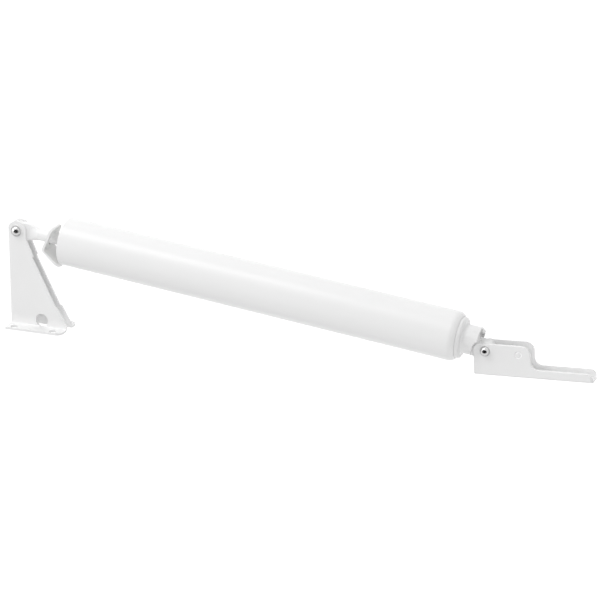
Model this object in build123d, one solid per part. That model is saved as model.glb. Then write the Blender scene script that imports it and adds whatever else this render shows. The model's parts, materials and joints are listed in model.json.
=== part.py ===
from build123d import *
from math import atan2, cos, degrees, hypot, radians, sin, sqrt
import os

# Pneumatic screen door closer: a jamb bracket, a sprung rod in an air cylinder, and a door bracket.
# Row frame: the jamb is the plane Y = 0 with the screws leaving along -Y, the hinge pins run along Z,
# and X runs from the jamb bracket towards the door bracket. The origin is the middle of the jamb screws.
# Millimetres throughout.

# Pose as it hangs: how far the cylinder and the door bracket turn from the jamb's face
closer_slope = 6.7
door_tilt = 3.0

# How far the door bracket can turn clockwise from that pose
door_swing_down = 20.0

# Jamb bracket
jamb_sheet = 1.5
jamb_bend = 1.0
jamb_ear_gap = 5.0
jamb_pin_height = 65.5
jamb_head_radius = 6.5
jamb_foot_length = 40.5
jamb_foot_width = 9.3
jamb_foot_corner = 4.5
jamb_back_corner = 0.8
jamb_toe_height = 4.0
jamb_knee = (27.4, 15.8)
jamb_neck = (11.2, 48.9)
jamb_shoulder_drop = 5.4
jamb_relief = 1.0
jamb_relief_corner = 0.8
jamb_web_bottom = 4.0
jamb_web_top = 56.0
jamb_edge_round = 1.2
jamb_screw_hole = 5.0
jamb_screw_spacing = 28.0
jamb_screw_row_spacing = 20.0
jamb_screw_inset = 5.5
jamb_access_hole = 8.8
jamb_access_inset = 22.7

# Hinge pins and their push-on rings
pin_diameter = 5.0
pin_hole_clearance = 0.1
pin_tail = 1.6
jamb_pin_ring_diameter = 8.0
jamb_pin_ring_height = 0.7
jamb_pin_dome_diameter = 6.4
jamb_pin_dome_height = 2.0
door_pin_ring_diameter = 7.0
door_pin_ring_height = 0.5
door_pin_dome_diameter = 6.0
door_pin_dome_height = 2.4
clip_diameter = 9.0
clip_thickness = 0.6
clip_lip_diameter = 6.6
clip_lip_height = 0.7

# Rod, measured from the jamb pin
rod_diameter = 8.0
eye_thickness = 4.6
eye_width = 10.8
eye_flat_length = 8.0
eye_taper_length = 7.0
rod_thread_diameter = 6.0

# Tube
tube_diameter = 31.75
tube_wall = 1.0
tube_length = 269.6
tube_mouth_round = 0.6
tube_lip_length = 4.3
tube_lip_drop = 2.45
rod_showing = 34.4

# Guide in the tube's mouth
guide_ring_recess = 1.6
guide_ring_width = 1.2
guide_ring_depth = 0.5
guide_ring_section = 2.2
guide_ring_opening = 60.0
guide_length = 15.0
guide_skirt_wall = 2.2
guide_skirt_depth = 9.0
guide_hub_diameter = 14.0
guide_clearance = 0.1
wiper_diameter = 13.0
wiper_thickness = 3.0
rod_clearance = 0.1
seat_thickness = 1.2

# Return spring
spring_wire = 2.2
spring_diameter = 24.0
spring_turns = 24
spring_side_clearance = 0.3

# Piston
piston_length = 12.0
piston_clearance = 0.35
piston_waist = 20.0
piston_land = 3.0
cup_thickness = 2.0
cup_lip_length = 6.0
cup_lip_wall = 1.6
cup_clearance = 0.1
cup_plate_diameter = 20.0
cup_plate_thickness = 1.2
nut_across_flats = 10.0
nut_height = 5.0
rod_end_beyond_nut = 1.0
thread_clearance = 0.05

# End cap
cap_spigot_length = 12.0
cap_clearance = 0.1
cap_ring_diameter = 26.5
cap_ring_length = 2.7
cap_ring_round = 2.1
cap_neck_diameter = 18.6
cap_neck_length = 10.3
cap_neck_round = 1.0
cap_neck_edge = 0.5
cap_ear_clearance = 0.35
cap_seal_section = 2.0
cap_seal_inset = 5.0
cap_cavity_depth = 3.0
cup_to_cap = 1.0
bumper_diameter = 19.0
bumper_width = 2.6
bumper_gap = 0.3
door_pin_reach = 15.5
door_pin_drop = 2.8
lug_radius = 4.7

# Adjusting screw in the end cap, above the door pin
screw_offset = 6.0
screw_diameter = 4.6
screw_thread_diameter = 3.6
screw_clearance = 0.1
screw_head_out = 2.0
screw_body_length = 17.0
screw_thread_length = 7.0
screw_tip_length = 3.0
screw_slot_width = 0.8
screw_slot_depth = 1.1
screw_seal_section = 1.0
screw_seal_inset = 6.0
air_hole_diameter = 1.4

# Door bracket, measured from the door pin
door_sheet = 1.5
door_ear_gap = 8.2
door_tongue_clearance = 0.1
door_pin_height = 16.0
door_pin_to_end = 7.7
door_ear_top = 4.6
door_ear_length = 28.6
door_length = 67.8
door_flange_height = 6.0
door_ear_front_corner = 4.5
door_ear_back_corner = 5.5
door_flange_fillet = 5.0
door_flange_corner = 4.2
door_end_corner = 1.8
door_bend = 1.6
door_edge_round = 0.5
door_screw_hole = 5.0
door_screw_first = 41.0
door_screw_spacing = 20.0
door_dimple_place = (20.9, -0.9)
door_dimple_diameter = 5.2
door_dimple_groove = 1.5
door_dimple_depth = 0.4

# Hold-open washer, in the plane of the rod: outline points from its top edge to its curled foot
washer_sheet = 1.6
washer_width = 16.0
washer_hole = 9.6
washer_rod_station = 23.6
washer_lean = 18.0
washer_above_rod = 8.4
washer_below_rod = 8.0
washer_toe_back = 0.7
washer_toe_drop = 0.9
washer_bend = 1.6
washer_top_corner = 3.5
washer_foot_corner = 5.0

# Where things come, worked out from the sizes above
web_face = -jamb_screw_spacing / 2 - jamb_screw_inset
jamb_pin_x = web_face + jamb_head_radius
jamb_ear_outer = jamb_ear_gap / 2 + jamb_sheet
door_ear_outer = door_ear_gap / 2 + door_sheet
pin_radius = pin_diameter / 2
pin_hole_radius = pin_radius + pin_hole_clearance
rod_radius = rod_diameter / 2
tube_radius = tube_diameter / 2
bore_radius = tube_radius - tube_wall
mouth = rod_showing
tube_end = mouth + tube_length
lip_start = tube_end - tube_lip_length
lip_bend = (tube_lip_length**2 + tube_lip_drop**2) / (2 * tube_lip_drop)
lip_bend_centre = tube_radius - lip_bend
lip_shrink = (lip_bend - tube_wall) / lip_bend
lip_inner = (
    lip_start + lip_shrink * tube_lip_length,
    lip_bend_centre + lip_shrink * (lip_bend - tube_lip_drop),
)
guide_ring_start = mouth + guide_ring_recess
guide_start = guide_ring_start + guide_ring_width
guide_end = guide_start + guide_length
spring_start = guide_end + seat_thickness
cap_face = lip_start - cap_spigot_length
cap_shoulder_radius = bore_radius - cap_clearance
cap_ring_end = tube_end + cap_ring_length
neck_radius = cap_neck_diameter / 2
neck_end = cap_ring_end + cap_neck_length
door_pin_station = cap_ring_end + door_pin_reach
tongue_half = door_ear_gap / 2 - door_tongue_clearance
cup_start = cap_face - cup_to_cap - cup_lip_length
cup_plate_start = cup_start + cup_thickness
nut_start = cup_plate_start + cup_plate_thickness
rod_end = nut_start + nut_height + rod_end_beyond_nut
piston_start = cup_start - piston_length
spring_end = piston_start - seat_thickness

# Local frames: the closer's +X runs along the rod from the jamb pin, the door bracket's along its tongue
closer_frame = Pos(jamb_pin_x, jamb_pin_height, 0) * Rot(0, 0, -closer_slope)
door_frame = closer_frame * Pos(door_pin_station, -door_pin_drop, 0) * Rot(0, 0, closer_slope + door_tilt)


def turned(*points):
    """Solid turned about the closer's axis from (station, radius) points."""
    return revolve(make_face(Polyline(*points, close=True)), Axis.X)


def sleeve(start, end, inner, outer):
    """Plain ring about the closer's axis."""
    return turned((start, inner), (end, inner), (end, outer), (start, outer))


def along_z(face, low, high):
    """Prism of a face drawn in X and Y, between two heights."""
    return Pos(0, 0, low) * extrude(face, high - low)


def jamb_ear_face():
    """Outline of one ear along the pin: straight back, round head, stepped front edge that slants out."""
    head = (jamb_pin_x, jamb_pin_height)
    knee = (jamb_pin_x + jamb_knee[0], jamb_knee[1])
    neck = (jamb_pin_x + jamb_neck[0], jamb_neck[1])
    toe = web_face + jamb_foot_length
    shoulder = (jamb_pin_x + jamb_head_radius, jamb_pin_height - jamb_shoulder_drop)
    outline = Polyline(
        (web_face, 0), (toe, 0), (toe, jamb_toe_height), knee, neck, shoulder,
        (jamb_pin_x + jamb_head_radius, jamb_pin_height), (web_face, jamb_pin_height), close=True,
    )
    slope = degrees(atan2(neck[1] - knee[1], neck[0] - knee[0]))
    middle = ((knee[0] + neck[0]) / 2, (knee[1] + neck[1]) / 2)
    length = hypot(neck[0] - knee[0], neck[1] - knee[1])
    relief = RectangleRounded(length, 2 * jamb_relief, jamb_relief_corner)
    face = make_face(outline) + Pos(*head) * Circle(jamb_head_radius)
    return face - Pos(*middle) * Rot(0, 0, slope) * relief


def jamb_side():
    """One ear and its outward foot, bent from one sheet."""
    inner = jamb_ear_gap / 2
    outer = inner + jamb_sheet
    top = jamb_pin_height + jamb_head_radius
    bend = make_face(Polyline(
        (0, inner), (0, outer + jamb_foot_width), (jamb_sheet, outer + jamb_foot_width),
        (jamb_sheet, outer), (top, outer), (top, inner), close=True,
    ))
    outside_corner = bend.vertices().sort_by_distance((0, inner, 0))[0]
    bend = fillet(outside_corner, jamb_bend + jamb_sheet)
    inside_corner = bend.vertices().sort_by_distance((jamb_sheet, outer, 0))[0]
    bend = fillet(inside_corner, jamb_bend)
    side = Pos(web_face, 0, 0) * extrude(Plane.YZ * bend, jamb_foot_length)
    side &= along_z(jamb_ear_face(), 0, outer + jamb_foot_width)
    uprights = side.edges().filter_by(Axis.Y).group_by(Axis.Z)[-1].sort_by(Axis.X)
    side = fillet(uprights[-1], jamb_foot_corner)
    uprights = side.edges().filter_by(Axis.Y).group_by(Axis.Z)[-1].sort_by(Axis.X)
    side = fillet(uprights[0], jamb_back_corner)
    for x in (-jamb_screw_spacing / 2, jamb_screw_spacing / 2):
        hole = Rot(90, 0, 0) * Cylinder(jamb_screw_hole / 2, 4 * jamb_sheet)
        side -= Pos(x, 0, jamb_screw_row_spacing / 2) * hole
    side -= along_z(Pos(jamb_pin_x, jamb_pin_height) * Circle(pin_hole_radius), 0, 2 * outer)
    return side


def jamb_bracket():
    """Two ears with outward feet, joined by a web down their straight backs."""
    side = jamb_side()
    web_height = jamb_web_top - jamb_web_bottom
    web = Box(jamb_sheet, web_height, jamb_ear_gap, align=(Align.MIN, Align.MIN, Align.CENTER))
    bracket = side + mirror(side, Plane.XY) + Pos(web_face, jamb_web_bottom, 0) * web
    corner = back_corner()
    bracket = bracket - corner - mirror(corner, Plane.XY)
    access_radius = jamb_access_hole / 2
    access = Pos(web_face + jamb_access_inset, jamb_sheet + access_radius) * Circle(access_radius)
    return bracket - along_z(access, 0, jamb_ear_outer + jamb_bend)


def back_corner():
    """What the bend between web and ear takes off the square corner, above the feet."""
    radius = jamb_edge_round
    edge = jamb_ear_outer - radius
    square = Pos(web_face - radius, edge) * Rectangle(2 * radius, 2 * radius, align=Align.MIN)
    plan = square - Pos(web_face + radius, edge) * Circle(radius)
    height = jamb_pin_height + jamb_head_radius
    return Pos(0, jamb_sheet + jamb_bend, 0) * extrude(Plane.XZ * plan, -height)


def headed_pin(outer, ring_diameter, ring_height, dome_diameter, dome_height):
    """Pin along Z with a ring and a dome on its upper ear, and a plain tail below the lower ear."""
    shank = Pos(0, 0, -outer - pin_tail) * Cylinder(
        pin_radius, 2 * outer + pin_tail, align=(Align.CENTER, Align.CENTER, Align.MIN)
    )
    ring = Pos(0, 0, outer) * Cylinder(
        ring_diameter / 2, ring_height, align=(Align.CENTER, Align.CENTER, Align.MIN)
    )
    dome_radius = (dome_height**2 + (dome_diameter / 2) ** 2) / (2 * dome_height)
    dome_floor = outer + ring_height
    dome = Pos(0, 0, dome_floor + dome_height - dome_radius) * Sphere(dome_radius)
    above = Pos(0, 0, dome_floor) * Box(
        dome_diameter * 2, dome_diameter * 2, dome_height * 2, align=(Align.CENTER, Align.CENTER, Align.MIN)
    )
    pin = shank + ring + (dome & above)
    tail_edge = pin.edges().filter_by(GeomType.CIRCLE).sort_by(Axis.Z)[0]
    return chamfer(tail_edge, pin_tail / 4)


def jamb_pin():
    """Pin of the jamb bracket."""
    return headed_pin(
        jamb_ear_outer, jamb_pin_ring_diameter, jamb_pin_ring_height, jamb_pin_dome_diameter,
        jamb_pin_dome_height,
    )


def door_pin():
    """Pin of the door bracket."""
    return headed_pin(
        door_ear_outer, door_pin_ring_diameter, door_pin_ring_height, door_pin_dome_diameter,
        door_pin_dome_height,
    )


def pin_clip(outer):
    """Push-on ring on the pin's tail, with a raised lip round the hole."""
    hanging = (Align.CENTER, Align.CENTER, Align.MAX)
    depth = clip_thickness + clip_lip_height
    plate = Cylinder(clip_diameter / 2, clip_thickness, align=hanging)
    lip = Cylinder(clip_lip_diameter / 2, depth, align=hanging)
    hole = Cylinder(pin_radius + thread_clearance, 3 * depth)
    return Pos(0, 0, -outer) * (plate + lip - hole)


def rod():
    """Round rod with its end forged flat into an eye, and a reduced threaded end for the piston."""
    round_start = eye_flat_length + eye_taper_length
    thread_radius = rod_thread_diameter / 2
    eye = Cylinder(eye_width / 2, eye_thickness)
    flat = Pos(eye_flat_length / 2, 0, 0) * Box(eye_flat_length, eye_width, eye_thickness)
    start = Plane.YZ.offset(eye_flat_length) * RectangleRounded(eye_width, eye_thickness, eye_thickness / 4)
    finish = Plane.YZ.offset(round_start) * Circle(rod_radius)
    taper = loft([start, finish])
    shank = turned(
        (round_start, 0), (round_start, rod_radius), (piston_start, rod_radius),
        (piston_start, thread_radius), (rod_end, thread_radius), (rod_end, 0),
    )
    return eye + flat + taper + shank - Cylinder(pin_hole_radius, 2 * eye_thickness)


def hold_open_washer():
    """Bent plate with a hole that lets it tilt and grip the rod, and a foot that runs under the mouth."""
    lean = radians(washer_lean)
    up = (sin(lean), cos(lean))
    centre = (washer_rod_station, 0)
    top = (centre[0] + washer_above_rod * up[0], washer_above_rod * up[1])
    heel = (centre[0] - washer_below_rod * up[0], -washer_below_rod * up[1])
    toe = (mouth - washer_toe_back, -tube_radius - washer_toe_drop)
    bends = FilletPolyline(top, heel, toe, radius=washer_bend + washer_sheet / 2)
    plate = extrude(trace(bends, washer_sheet), washer_width / 2, both=True)
    tops = plate.edges().filter_by(lambda edge: abs(edge.length - washer_sheet) < 0.01).sort_by(Axis.Y)
    plate = fillet(tops[-2:], washer_top_corner)
    tops = plate.edges().filter_by(lambda edge: abs(edge.length - washer_sheet) < 0.01).sort_by(Axis.Y)
    plate = fillet(tops[:2], washer_foot_corner)
    plane = Plane(origin=(centre[0], 0, 0), x_dir=(0, 0, 1), z_dir=(cos(lean), -sin(lean), 0))
    return plate - plane * Cylinder(washer_hole / 2, 3 * washer_sheet)


def tube():
    """Seamless tube, open at the mouth and turned in over the end cap."""
    lip_end = (tube_end, tube_radius - tube_lip_drop)
    outline = Polyline(
        (lip_start, bore_radius), (mouth, bore_radius), (mouth, tube_radius), (lip_start, tube_radius),
    )
    outline += RadiusArc((lip_start, tube_radius), lip_end, lip_bend)
    outline += Line(lip_end, lip_inner)
    outline += RadiusArc(lip_inner, (lip_start, bore_radius), tube_wall - lip_bend)
    shell = revolve(make_face(outline), Axis.X)
    rim = shell.edges().filter_by(GeomType.CIRCLE).sort_by(Axis.X)[:2].sort_by(lambda edge: edge.radius)
    shell = fillet(rim[-1], tube_mouth_round)
    groove = sleeve(guide_ring_start, guide_start, bore_radius - tube_wall, bore_radius + guide_ring_depth)
    return shell - groove


def guide_ring():
    """Spring ring with a gap, seated in the groove of the tube and holding the guide."""
    outer = bore_radius + guide_ring_depth - guide_clearance
    ring = sleeve(guide_ring_start, guide_start, outer - guide_ring_section, outer)
    across = tube_diameter * cos(radians(guide_ring_opening / 2))
    aside = tube_diameter * sin(radians(guide_ring_opening / 2))
    gap = make_face(Polyline((0, 0), (across, aside), (across, -aside), close=True))
    start = Plane.YZ.offset(guide_ring_start - guide_ring_width)
    return ring - extrude(start * gap, 3 * guide_ring_width)


def rod_guide():
    """Moulded plug with a hub for the rod, a skirt against the tube and a seat for the wiper."""
    outer = bore_radius - guide_clearance
    hub = guide_hub_diameter / 2
    floor = guide_end - (guide_length - guide_skirt_depth)
    wiper_end = guide_start + wiper_thickness
    return turned(
        (guide_start, wiper_diameter / 2), (guide_start, hub + guide_skirt_wall),
        (guide_start + guide_skirt_wall, outer), (guide_end, outer), (guide_end, outer - guide_skirt_wall),
        (floor, outer - guide_skirt_wall), (floor, hub), (guide_end, hub),
        (guide_end, rod_radius + rod_clearance), (wiper_end, rod_radius + rod_clearance),
        (wiper_end, wiper_diameter / 2),
    )


def rod_wiper():
    """Felt ring that keeps dust out of the guide."""
    outer = wiper_diameter / 2 - guide_clearance
    return sleeve(guide_start, guide_start + wiper_thickness, rod_radius + rod_clearance, outer)


def spring_washer(start):
    """Flat steel washer under one end of the return spring."""
    outer = spring_diameter / 2 + spring_side_clearance + spring_wire / 2
    return sleeve(start, start + seat_thickness, rod_radius + rod_clearance, outer)


def return_spring():
    """Compression spring round the rod, its ends ground flat on the washers."""
    mean = (spring_diameter - spring_wire) / 2
    length = spring_end - spring_start
    pitch = length / spring_turns
    path = Helix(pitch=pitch, height=length, radius=mean)
    start = Plane(origin=path @ 0, z_dir=path % 0)
    wire = sweep(start * Circle(spring_wire / 2), path=path, is_frenet=True)
    block = Cylinder(spring_diameter, length, align=(Align.CENTER, Align.CENTER, Align.MIN))
    print(f"return_spring gap between turns {pitch - spring_wire:.2f} mm")
    return Pos(spring_start, 0, 0) * Rot(0, 90, 0) * (wire & block)


def piston():
    """Moulded piston with two lands and a waist."""
    outer = bore_radius - piston_clearance
    waist = piston_waist / 2
    slope = outer - waist
    hole = rod_thread_diameter / 2 + thread_clearance
    end = cup_start
    return turned(
        (piston_start, hole), (piston_start, outer), (piston_start + piston_land, outer),
        (piston_start + piston_land, waist), (end - piston_land, waist), (end - piston_land, outer),
        (end, outer), (end, hole),
    )


def piston_cup():
    """Rubber cup whose lip seals one way against the tube, open towards the end cap."""
    outer = bore_radius - cup_clearance
    hole = rod_thread_diameter / 2 + thread_clearance
    lip = cup_start + cup_lip_length
    return turned(
        (cup_start, hole), (cup_start, outer - cup_lip_wall / 2), (cup_start + cup_thickness, outer),
        (lip, outer), (lip, outer - cup_lip_wall / 2), (cup_start + cup_thickness, outer - cup_lip_wall),
        (cup_start + cup_thickness, hole),
    )


def cup_plate():
    """Steel plate that clamps the cup on the piston."""
    hole = rod_thread_diameter / 2 + thread_clearance
    return sleeve(cup_plate_start, nut_start, hole, cup_plate_diameter / 2)


def piston_nut():
    """Hexagon nut on the rod's threaded end."""
    hexagon = RegularPolygon(nut_across_flats / 2, 6, major_radius=False)
    face = Plane.YZ.offset(nut_start) * (hexagon - Circle(rod_thread_diameter / 2 + thread_clearance))
    return extrude(face, nut_height)


def end_cap():
    """Die-cast cap: sealed spigot, ring, round neck and the flat tongue that takes the door pin."""
    shoulder = cap_shoulder_radius
    ring = cap_ring_diameter / 2
    under_bend = lip_bend - tube_wall - cap_clearance
    throat = lip_inner[1] - cap_clearance
    shoulder_end = lip_start + sqrt(under_bend**2 - (throat - lip_bend_centre) ** 2)
    ring_start = tube_end + cap_clearance
    groove_start = cap_face + cap_seal_inset
    groove_end = groove_start + cap_seal_section
    groove_floor = bore_radius - cap_seal_section
    spigot = Polyline(
        (cap_face, 0), (cap_face, shoulder), (groove_start, shoulder), (groove_start, groove_floor),
        (groove_end, groove_floor), (groove_end, shoulder), (lip_start, shoulder),
    )
    under_lip = RadiusArc((lip_start, shoulder), (shoulder_end, throat), under_bend)
    outside = Polyline(
        (shoulder_end, throat), (ring_start, throat), (ring_start, ring), (cap_ring_end, ring),
        (cap_ring_end, neck_radius), (neck_end, neck_radius), (neck_end, 0), (cap_face, 0),
    )
    cap = revolve(make_face(spigot + under_lip + outside), Axis.X)
    rounds = (
        ((cap_ring_end, ring, 0), cap_ring_round),
        ((cap_ring_end, neck_radius, 0), cap_neck_round),
        ((neck_end, neck_radius, 0), cap_neck_edge),
    )
    for place, radius in rounds:
        cap = fillet(cap.edges().filter_by(GeomType.CIRCLE).sort_by_distance(place)[0], radius)
    pocket = along_z(ear_pocket(), tongue_half, 2 * neck_radius)
    cap = cap - pocket - mirror(pocket, Plane.XY)
    cap += along_z(tongue_face(), -tongue_half, tongue_half)
    cap -= along_z(Pos(door_pin_station, -door_pin_drop) * Circle(pin_hole_radius), -neck_radius, neck_radius)
    cap -= sleeve(cap_face, cap_face + cap_cavity_depth, 0, bumper_diameter / 2 + cap_clearance)
    return cap - screw_bore()


def tongue_face():
    """Outline of the tongue from inside the neck to its round end, seen along the door pin."""
    start = neck_end - cap_neck_length / 2
    straight = Rectangle(door_pin_station - start, 2 * lug_radius, align=(Align.MAX, Align.CENTER))
    return Pos(door_pin_station, -door_pin_drop) * (Circle(lug_radius) + straight)


def ear_pocket():
    """Room in the neck that the bracket's ears swing through, seen along the door pin."""
    lowest = closer_slope + door_tilt - door_swing_down
    reach = door_pin_to_end + cap_ear_clearance
    below = Pos(-reach, 0) * Rectangle(3 * reach, 3 * neck_radius, align=(Align.MIN, Align.MAX))
    return Pos(door_pin_station, -door_pin_drop) * Rot(0, 0, lowest) * (Circle(reach) + below)


def screw_bore():
    """Stepped hole for the adjusting screw, running through to the cap's cavity."""
    body_end = neck_end - screw_body_length + screw_head_out
    thread_end = body_end - screw_thread_length
    bore = sleeve(body_end, neck_end + screw_head_out, 0, screw_diameter / 2 + screw_clearance)
    bore += sleeve(thread_end - screw_tip_length, body_end, 0, screw_thread_diameter / 2 + screw_clearance)
    bore += sleeve(cap_face, thread_end - screw_tip_length, 0, air_hole_diameter / 2)
    return Pos(0, screw_offset, 0) * bore


def adjusting_screw():
    """Needle screw with a seal groove and a slotted end."""
    outer = neck_end + screw_head_out
    body_end = outer - screw_body_length + screw_clearance
    thread_end = body_end - screw_thread_length
    groove = neck_end - screw_seal_inset
    radius = screw_diameter / 2
    screw = turned(
        (outer, 0), (outer, radius), (groove + screw_seal_section, radius),
        (groove + screw_seal_section, radius - screw_seal_section), (groove, radius - screw_seal_section),
        (groove, radius), (body_end, radius), (body_end, screw_thread_diameter / 2),
        (thread_end, screw_thread_diameter / 2), (thread_end - screw_tip_length + screw_clearance, 0),
    )
    slot = Pos(outer, 0, 0) * Box(2 * screw_slot_depth, screw_slot_width, 2 * screw_diameter)
    return Pos(0, screw_offset, 0) * (screw - slot)


def seal_ring(start, section, outer, slack):
    """Round-section ring in a groove about the closer's axis."""
    radius = section / 2 - slack
    place = (start + section / 2, outer - section / 2)
    return revolve(Pos(*place) * Circle(radius), Axis.X)


def end_cap_seal():
    """Ring seal between the cap's spigot and the tube."""
    return seal_ring(cap_face + cap_seal_inset, cap_seal_section, bore_radius, cap_clearance / 2)


def screw_seal():
    """Ring seal between the adjusting screw and its hole."""
    outer = screw_diameter / 2 + screw_clearance
    ring = seal_ring(neck_end - screw_seal_inset, screw_seal_section, outer, screw_clearance / 2)
    return Pos(0, screw_offset, 0) * ring


def door_side_face():
    """Side of the door bracket: tall ears, then a long low flange."""
    floor = -door_pin_height
    flange = floor + door_flange_height
    outline = make_face(Polyline(
        (-door_pin_to_end, floor), (door_length, floor), (door_length, flange), (door_ear_length, flange),
        (door_ear_length, door_ear_top), (-door_pin_to_end, door_ear_top), close=True,
    ))
    corners = (
        ((-door_pin_to_end, door_ear_top, 0), door_ear_front_corner),
        ((door_ear_length, door_ear_top, 0), door_ear_back_corner),
        ((door_ear_length, flange, 0), door_flange_fillet),
        ((door_length, flange, 0), door_flange_corner),
    )
    for place, radius in corners:
        outline = fillet(outline.vertices().sort_by_distance(place)[0], radius)
    return outline


def door_bracket():
    """Pressed channel with two staked ears for the pin and a low-sided tongue for the screws."""
    floor = -door_pin_height
    bracket = extrude(door_side_face(), door_ear_outer, both=True)
    bracket = fillet(bracket.edges().filter_by(Axis.X).group_by(Axis.Y)[0], door_bend)
    outer = [
        edge for edge in bracket.edges()
        if abs(abs(edge.center().Z) - door_ear_outer) < 0.01 and edge.center().Y > floor + door_bend + 0.01
    ]
    bracket = fillet(outer, door_edge_round)
    plan = RectangleRounded(2 * door_length, 2 * door_ear_outer, door_end_corner)
    bracket &= extrude(Plane.XZ * plan, 2 * door_pin_height, both=True)
    on_floor = (Align.CENTER, Align.MIN, Align.CENTER)
    inside = Box(4 * door_length, 2 * door_pin_height, door_ear_gap, align=on_floor)
    bracket -= Pos(0, floor + door_sheet, 0) * inside
    bracket -= extrude(Circle(pin_hole_radius), 2 * door_ear_outer, both=True)
    for place in (door_screw_first, door_screw_first + door_screw_spacing):
        bracket -= Pos(place, floor, 0) * Rot(90, 0, 0) * Cylinder(door_screw_hole / 2, 4 * door_sheet)
    groove_bend = ((door_dimple_groove / 2) ** 2 + door_dimple_depth**2) / (2 * door_dimple_depth)
    ring_radius = (door_dimple_diameter - door_dimple_groove) / 2
    for side in (-1, 1):
        height = side * (door_ear_outer + groove_bend - door_dimple_depth)
        bracket -= Pos(*door_dimple_place, height) * Torus(ring_radius, groove_bend)
    return bracket


def end_bumper():
    """Rubber ring in the cap's cavity that the cup's plate comes to rest on."""
    outer = bumper_diameter / 2
    return sleeve(nut_start + bumper_gap, cap_face + cap_cavity_depth, outer - bumper_width, outer)


def pieces():
    """Every piece by name, placed in the row frame."""
    jamb_pin_place = Pos(jamb_pin_x, jamb_pin_height, 0)
    on_closer = {
        "rod": rod(),
        "hold_open_washer": hold_open_washer(),
        "tube": tube(),
        "guide_ring": guide_ring(),
        "rod_guide": rod_guide(),
        "rod_wiper": rod_wiper(),
        "spring_seat": spring_washer(guide_end),
        "return_spring": return_spring(),
        "piston_washer": spring_washer(spring_end),
        "piston": piston(),
        "piston_cup": piston_cup(),
        "cup_plate": cup_plate(),
        "piston_nut": piston_nut(),
        "end_bumper": end_bumper(),
        "end_cap": end_cap(),
        "end_cap_seal": end_cap_seal(),
        "adjusting_screw": adjusting_screw(),
        "screw_seal": screw_seal(),
    }
    named = {name: closer_frame * piece for name, piece in on_closer.items()}
    named["jamb_bracket"] = jamb_bracket()
    named["jamb_pin"] = jamb_pin_place * jamb_pin()
    named["jamb_pin_clip"] = jamb_pin_place * pin_clip(jamb_ear_outer)
    named["door_pin"] = door_frame * door_pin()
    named["door_pin_clip"] = door_frame * pin_clip(door_ear_outer)
    named["door_bracket"] = door_frame * door_bracket()
    return named


os.makedirs("parts", exist_ok=True)
for name, piece in pieces().items():
    export_step(piece, f"parts/{name}.step")
    print(f"{name:18s} {piece.volume:10.1f} mm3")
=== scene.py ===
import json
from math import cos, radians, sin

import bpy
from mathutils import Matrix, Vector

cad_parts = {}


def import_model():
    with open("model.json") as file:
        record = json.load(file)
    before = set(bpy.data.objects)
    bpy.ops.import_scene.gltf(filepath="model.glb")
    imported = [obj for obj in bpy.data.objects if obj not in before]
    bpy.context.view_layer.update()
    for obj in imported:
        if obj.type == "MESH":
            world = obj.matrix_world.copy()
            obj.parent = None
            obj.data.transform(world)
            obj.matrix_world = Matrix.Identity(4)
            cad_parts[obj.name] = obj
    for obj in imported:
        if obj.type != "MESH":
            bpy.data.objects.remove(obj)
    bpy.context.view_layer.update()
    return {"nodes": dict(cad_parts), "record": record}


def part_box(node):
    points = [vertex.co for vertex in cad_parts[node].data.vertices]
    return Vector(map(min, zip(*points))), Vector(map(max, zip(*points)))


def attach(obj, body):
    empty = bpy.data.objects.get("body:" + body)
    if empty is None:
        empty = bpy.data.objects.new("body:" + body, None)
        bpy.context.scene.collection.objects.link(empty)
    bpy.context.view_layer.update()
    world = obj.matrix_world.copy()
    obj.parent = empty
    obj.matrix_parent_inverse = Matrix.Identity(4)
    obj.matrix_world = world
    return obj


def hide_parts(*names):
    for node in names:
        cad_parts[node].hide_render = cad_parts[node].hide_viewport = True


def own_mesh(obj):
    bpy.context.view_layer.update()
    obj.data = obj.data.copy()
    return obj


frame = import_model()
scene = bpy.context.scene

# Camera of the photograph, in metres and degrees, with its lens and sensor in millimetres. The photograph
# shows the jamb's normal upright, so the turn is about that normal, and the height is towards it.
camera_place = (0.74054, 0.58198, 1.46105)
camera_turn = 20.89
camera_height = 19.08
camera_roll = 0.08
camera_lens = 157.7
camera_sensor = 36
camera_near = 0.01
camera_far = 50

# Strength of the surroundings, as a light and where they are seen directly
world_light = 0.45
world_seen = 1.0

# Floor far enough below that its shadow stays faint, and the light added to it where it is seen directly
floor_middle = (0.2, 0.1, -0.26)
floor_size = 6.0
floor_tone = 0.9
floor_lift = 0.55

# Black card that the bright metal reflects, and half its width and height
card_place = (0.15, -0.3, 3.0)
card_reach = (4.5, 2.7)
card_tone = 0.01

# Point that the lamps face, and for each lamp its name, place, width, watts and whether bright metal shows it
lit = (0.15, 0.05, 0)
lamps = (
    ("key_light", (-0.9, 1.35, 0.65), 0.7, 5.1, True),
    ("top_light", (-0.4, 1.45, 0.6), 0.7, 5.5, True),
    ("front_light", (0.9, 0.4, 1.5), 0.9, 4.8, False),
    ("low_light", (0.3, -1.2, 0.9), 1.0, 4.4, False),
    ("right_light", (1.5, 0.6, 1.1), 0.9, 2.0, False),
    ("left_light", (-1.4, 0.3, 0.5), 0.9, 6.5, True),
)

# Noise at which a finish has the first of its two values, and at which it has the second
first_at = 0.3
second_at = 0.7

# Gloss of the clear coat, and how strongly the fine relief tilts the surface
coat_rough = 0.08
relief_strength = 0.6

# Circles of tone on a pin's head, among them a painted shade in the crease round the dome: how far they stray
# from true and over what width, in metres, and half the width of the dome's edge, as a share of the outermost
# circle
stray_reach = 0.0005
stray_width = 1 / 900
dome_edge = 0.02


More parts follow.
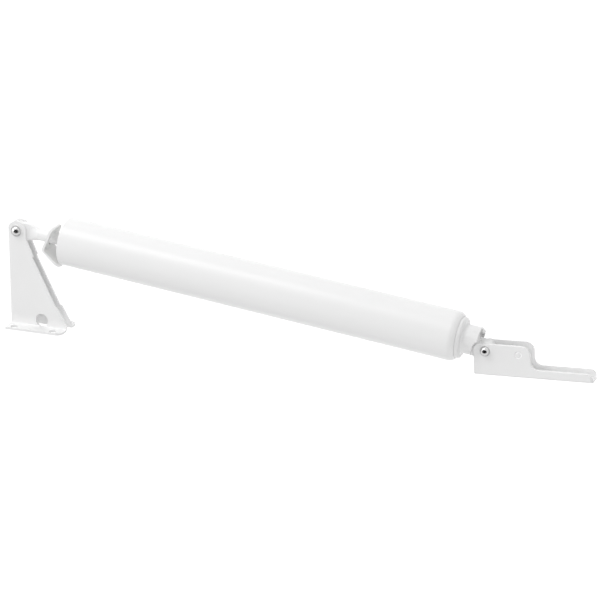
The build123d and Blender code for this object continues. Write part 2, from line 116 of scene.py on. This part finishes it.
def camera():
    """Camera looking along the photograph's axis."""
    turn = radians(camera_turn)
    height = radians(camera_height)
    roll = radians(camera_roll)
    back = Vector((sin(turn) * cos(height), sin(height), cos(turn) * cos(height)))
    right = Vector((cos(turn), 0, -sin(turn)))
    up = back.cross(right)
    right, up = right * cos(roll) + up * sin(roll), up * cos(roll) - right * sin(roll)
    data = bpy.data.cameras.new("photo_camera")
    data.lens = camera_lens
    data.sensor_width = camera_sensor
    data.clip_start = camera_near
    data.clip_end = camera_far
    item = bpy.data.objects.new("photo_camera", data)
    item.matrix_world = Matrix.Translation(camera_place) @ Matrix((right, up, back)).transposed().to_4x4()
    scene.collection.objects.link(item)
    scene.camera = item


def soft_light(name, place, size, power, mirrored):
    """Square soft box that faces the closer, and that bright metal shows if it is mirrored."""
    data = bpy.data.lights.new(name, "AREA")
    data.shape = "SQUARE"
    data.size = size
    data.energy = power
    item = bpy.data.objects.new(name, data)
    item.location = place
    item.visible_glossy = mirrored
    item.rotation_euler = (Vector(lit) - Vector(place)).to_track_quat("-Z", "Y").to_euler()
    scene.collection.objects.link(item)


def seen_directly(tree):
    """Socket that is 1 for what the camera sees straight on, in a reflection or through glass."""
    path = tree.nodes.new("ShaderNodeLightPath")
    seen = path.outputs["Is Camera Ray"]
    for kind in ("Is Glossy Ray", "Is Transmission Ray"):
        either = tree.nodes.new("ShaderNodeMath")
        either.operation = "MAXIMUM"
        tree.links.new(seen, either.inputs[0])
        tree.links.new(path.outputs[kind], either.inputs[1])
        seen = either.outputs[0]
    return seen


def world():
    """Even pale surroundings that are white where they are seen directly."""
    surroundings = bpy.data.worlds.new("surroundings")
    surroundings.use_nodes = True
    scene.world = surroundings
    tree = surroundings.node_tree
    background = tree.nodes["Background"]
    background.inputs["Color"].default_value = (*grey(1), 1)
    level = tree.nodes.new("ShaderNodeMapRange")
    level.inputs["To Min"].default_value = world_light
    level.inputs["To Max"].default_value = world_seen
    tree.links.new(seen_directly(tree), level.inputs["Value"])
    tree.links.new(level.outputs["Result"], background.inputs["Strength"])


def floor():
    """Pale floor that keeps the closer's shadow and is lifted to white where it is seen directly."""
    bpy.ops.mesh.primitive_plane_add(size=floor_size, location=floor_middle)
    item = bpy.context.object
    item.name = "floor"
    material = bpy.data.materials.new("floor_pale")
    material.use_nodes = True
    tree = material.node_tree
    tree.nodes.clear()
    output = tree.nodes.new("ShaderNodeOutputMaterial")
    diffuse = tree.nodes.new("ShaderNodeBsdfDiffuse")
    diffuse.inputs["Color"].default_value = (*grey(floor_tone), 1)
    glow = tree.nodes.new("ShaderNodeEmission")
    lift = tree.nodes.new("ShaderNodeMath")
    lift.operation = "MULTIPLY"
    lift.inputs[1].default_value = floor_lift
    both = tree.nodes.new("ShaderNodeAddShader")
    tree.links.new(seen_directly(tree), lift.inputs[0])
    tree.links.new(lift.outputs[0], glow.inputs["Strength"])
    tree.links.new(diffuse.outputs[0], both.inputs[0])
    tree.links.new(glow.outputs[0], both.inputs[1])
    tree.links.new(both.outputs[0], output.inputs["Surface"])
    item.data.materials.append(material)


def dark_card():
    """Round black card far in front, which only reflections show: it is the dark spot on a pin's dome."""
    bpy.ops.mesh.primitive_circle_add(radius=1, fill_type="NGON", location=card_place)
    item = bpy.context.object
    item.name = "dark_card"
    item.scale = (*card_reach, 1)
    item.visible_camera = False
    item.visible_diffuse = False
    item.visible_transmission = False
    item.visible_shadow = False
    material = bpy.data.materials.new("card_black")
    material.use_nodes = True
    shader = material.node_tree.nodes["Principled BSDF"]
    shader.inputs["Base Color"].default_value = (*grey(card_tone), 1)
    shader.inputs["Roughness"].default_value = 1.0
    item.data.materials.append(material)


def grey(level):
    """Neutral colour."""
    return (level, level, level)


def noise(tree, width, detail):
    """Noise whose patches are about a width across, with that many finer layers."""
    place = tree.nodes.new("ShaderNodeTexCoord")
    texture = tree.nodes.new("ShaderNodeTexNoise")
    texture.inputs["Scale"].default_value = 1 / width
    texture.inputs["Detail"].default_value = detail
    tree.links.new(place.outputs["Object"], texture.inputs["Vector"])
    return texture


def shades(tree, value, stops):
    """Socket with the colour that (position, colour) stops give for a value."""
    ramp = tree.nodes.new("ShaderNodeValToRGB")
    elements = ramp.color_ramp.elements
    while len(elements) < len(stops):
        elements.new(1.0)
    for element, (position, colour) in zip(elements, stops):
        element.position = position
        element.color = (*colour, 1)
    tree.links.new(value, ramp.inputs["Fac"])
    return ramp.outputs["Color"]


def surface(name, dark, light, patch, rough, rough_patch, grain, depth, metal=0.0, coat=0.0, shine=0.5):
    """Material with a soft drift of colour, uneven gloss and a fine relief.

    Its colour drifts between dark and light in patches as wide as patch, and its roughness between the two
    values of rough in patches as wide as rough_patch. Its relief has that grain and depth. Sizes are in
    metres.
    """
    material = bpy.data.materials.new(name)
    material.use_nodes = True
    tree = material.node_tree
    shader = tree.nodes["Principled BSDF"]
    shader.inputs["Metallic"].default_value = metal
    shader.inputs["Coat Weight"].default_value = coat
    shader.inputs["Coat Roughness"].default_value = coat_rough
    shader.inputs["Specular IOR Level"].default_value = shine

    drift = noise(tree, patch, detail=3)
    colour = shades(tree, drift.outputs["Fac"], ((first_at, dark), (second_at, light)))
    tree.links.new(colour, shader.inputs["Base Color"])

    gloss = noise(tree, rough_patch, detail=4)
    spread = tree.nodes.new("ShaderNodeMapRange")
    spread.inputs["From Min"].default_value = first_at
    spread.inputs["From Max"].default_value = second_at
    spread.inputs["To Min"].default_value = rough[0]
    spread.inputs["To Max"].default_value = rough[1]
    tree.links.new(gloss.outputs["Fac"], spread.inputs["Value"])
    tree.links.new(spread.outputs["Result"], shader.inputs["Roughness"])

    fine = noise(tree, grain, detail=2)
    relief = tree.nodes.new("ShaderNodeBump")
    relief.inputs["Strength"].default_value = relief_strength
    relief.inputs["Distance"].default_value = depth
    tree.links.new(fine.outputs["Fac"], relief.inputs["Height"])
    tree.links.new(relief.outputs["Normal"], shader.inputs["Normal"])
    return material


def reach_from(tree, centre, reach):
    """Socket that grows from 0 at a centre to 1 at a reach from it, with slightly uneven circles."""
    place = tree.nodes.new("ShaderNodeTexCoord")
    wander = noise(tree, stray_width, detail=2)
    stray = tree.nodes.new("ShaderNodeVectorMath")
    stray.operation = "MULTIPLY_ADD"
    stray.inputs[1].default_value = (stray_reach, stray_reach, 0)
    across = tree.nodes.new("ShaderNodeVectorMath")
    across.operation = "SUBTRACT"
    across.inputs[1].default_value = (centre[0] + stray_reach / 2, centre[1] + stray_reach / 2, 0)
    flat = tree.nodes.new("ShaderNodeVectorMath")
    flat.operation = "MULTIPLY"
    flat.inputs[1].default_value = (1 / reach, 1 / reach, 0)
    far = tree.nodes.new("ShaderNodeVectorMath")
    far.operation = "LENGTH"
    tree.links.new(wander.outputs["Color"], stray.inputs[0])
    tree.links.new(place.outputs["Object"], stray.inputs[2])
    tree.links.new(stray.outputs["Vector"], across.inputs[0])
    tree.links.new(across.outputs["Vector"], flat.inputs[0])
    tree.links.new(flat.outputs["Vector"], far.inputs[0])
    return far.outputs["Value"]


def pin_head(node, dome, rough, tones_and_crease_shade):
    """Bright nickel dome on a painted ring, for one of the pins.

    The dome's radius is in millimetres, and so is the first number of each ring of tone about the pin's
    axis. Its second is the tone; the darker ring just outside the dome is painted shade in the crease.
    """
    material = surface(
        node + "_nickel", grey(0.5), grey(0.6),
        patch=0.004, rough=rough, rough_patch=0.002, grain=0.0004, depth=0.00001,
    )
    tree = material.node_tree
    shader = tree.nodes["Principled BSDF"]
    low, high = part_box(node)
    outermost = tones_and_crease_shade[-1][0]
    far = reach_from(tree, (low + high) / 2, outermost / 1000)
    # Ring tones about the pin's axis; the dip just outside the dome is painted shade in the crease
    tone_with_crease_shade = shades(tree, far, [(radius / outermost, grey(level)) for radius, level in tones_and_crease_shade])
    edge = dome / outermost
    plated = shades(tree, far, ((edge - dome_edge, grey(1)), (edge + dome_edge, grey(0))))
    tree.links.new(tone_with_crease_shade, shader.inputs["Base Color"])
    tree.links.new(plated, shader.inputs["Metallic"])
    return material


# One finish for each material slot of the part, apart from the pins' slot
finishes = {
    "white_tube": surface(
        "tube_enamel", grey(0.905), grey(0.915),
        patch=0.05, rough=(0.30, 0.36), rough_patch=0.006, grain=0.0016, depth=0.00001, coat=0.15, shine=0.3,
    ),
    "white_bracket": surface(
        "bracket_powder_coat", grey(0.90), grey(0.915),
        patch=0.02, rough=(0.36, 0.44), rough_patch=0.003, grain=0.0008, depth=0.00003,
    ),
    "white_cap": surface(
        "cap_enamel", grey(0.87), grey(0.885),
        patch=0.015, rough=(0.30, 0.38), rough_patch=0.003, grain=0.0009, depth=0.00003,
    ),
    "white_rod": surface(
        "rod_enamel", grey(0.92), grey(0.93),
        patch=0.01, rough=(0.26, 0.34), rough_patch=0.003, grain=0.0008, depth=0.00002,
    ),
    "zinc_steel": surface(
        "zinc_plate", (0.40, 0.41, 0.42), (0.58, 0.58, 0.57),
        patch=0.003, rough=(0.28, 0.45), rough_patch=0.001, grain=0.0004, depth=0.00002, metal=1.0,
    ),
    "spring_steel": surface(
        "spring_wire", (0.12, 0.12, 0.13), (0.20, 0.20, 0.21),
        patch=0.004, rough=(0.3, 0.45), rough_patch=0.001, grain=0.0003, depth=0.00001, metal=1.0,
    ),
    "guide_plastic": surface(
        "guide_acetal", (0.60, 0.60, 0.57), (0.66, 0.66, 0.63),
        patch=0.006, rough=(0.45, 0.55), rough_patch=0.002, grain=0.0006, depth=0.00002,
    ),
    "felt": surface(
        "wiper_felt", (0.16, 0.155, 0.14), (0.30, 0.29, 0.27),
        patch=0.0006, rough=(0.9, 1.0), rough_patch=0.001, grain=0.0003, depth=0.0002,
    ),
    "black_rubber": surface(
        "seal_rubber", grey(0.012), grey(0.022),
        patch=0.003, rough=(0.45, 0.6), rough_patch=0.001, grain=0.0004, depth=0.00003,
    ),
}

# Finishes of the pieces that have one to themselves
own_finishes = {
    # The dip in each pin's rings, at the dome's edge, is painted shade in the crease round the head
    "jamb_pin": pin_head(
        "jamb_pin", dome=3.2, rough=(0.24, 0.30),
        tones_and_crease_shade=((0.0, 0.68), (2.6, 0.66), (3.0, 0.56), (3.5, 0.60), (3.9, 0.85), (4.2, 0.87)),
    ),
    "door_pin": pin_head(
        "door_pin", dome=3.0, rough=(0.12, 0.16),
        tones_and_crease_shade=((0.0, 0.68), (2.6, 0.66), (2.9, 0.62), (3.2, 0.70), (3.4, 0.85), (4.0, 0.87)),
    ),
    "adjusting_screw": surface(
        "screw_zinc", grey(0.55), grey(0.66),
        patch=0.003, rough=(0.45, 0.6), rough_patch=0.001, grain=0.0004, depth=0.00002, metal=0.4,
    ),
}


def coil_that_shortens():
    """Copy of the return spring, carried with the cylinder in place of the part's own spring."""
    mesh = frame["nodes"]["return_spring"].data.copy()
    coil = bpy.data.objects.new("return_coil", mesh)
    scene.collection.objects.link(coil)
    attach(coil, "cylinder")
    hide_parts("return_spring")
    for place in coil.material_slots:
        place.material = finishes["spring_steel"]
    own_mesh(coil)


slot_of = {entry["node"]: entry["material_slot"] for entry in frame["record"]["subparts"]}
for name, item in frame["nodes"].items():
    for place in item.material_slots:
        place.material = own_finishes.get(name) or finishes[slot_of[name]]
coil_that_shortens()

camera()
world()
floor()
dark_card()
for lamp in lamps:
    soft_light(*lamp)

scene.view_settings.view_transform = "Standard"
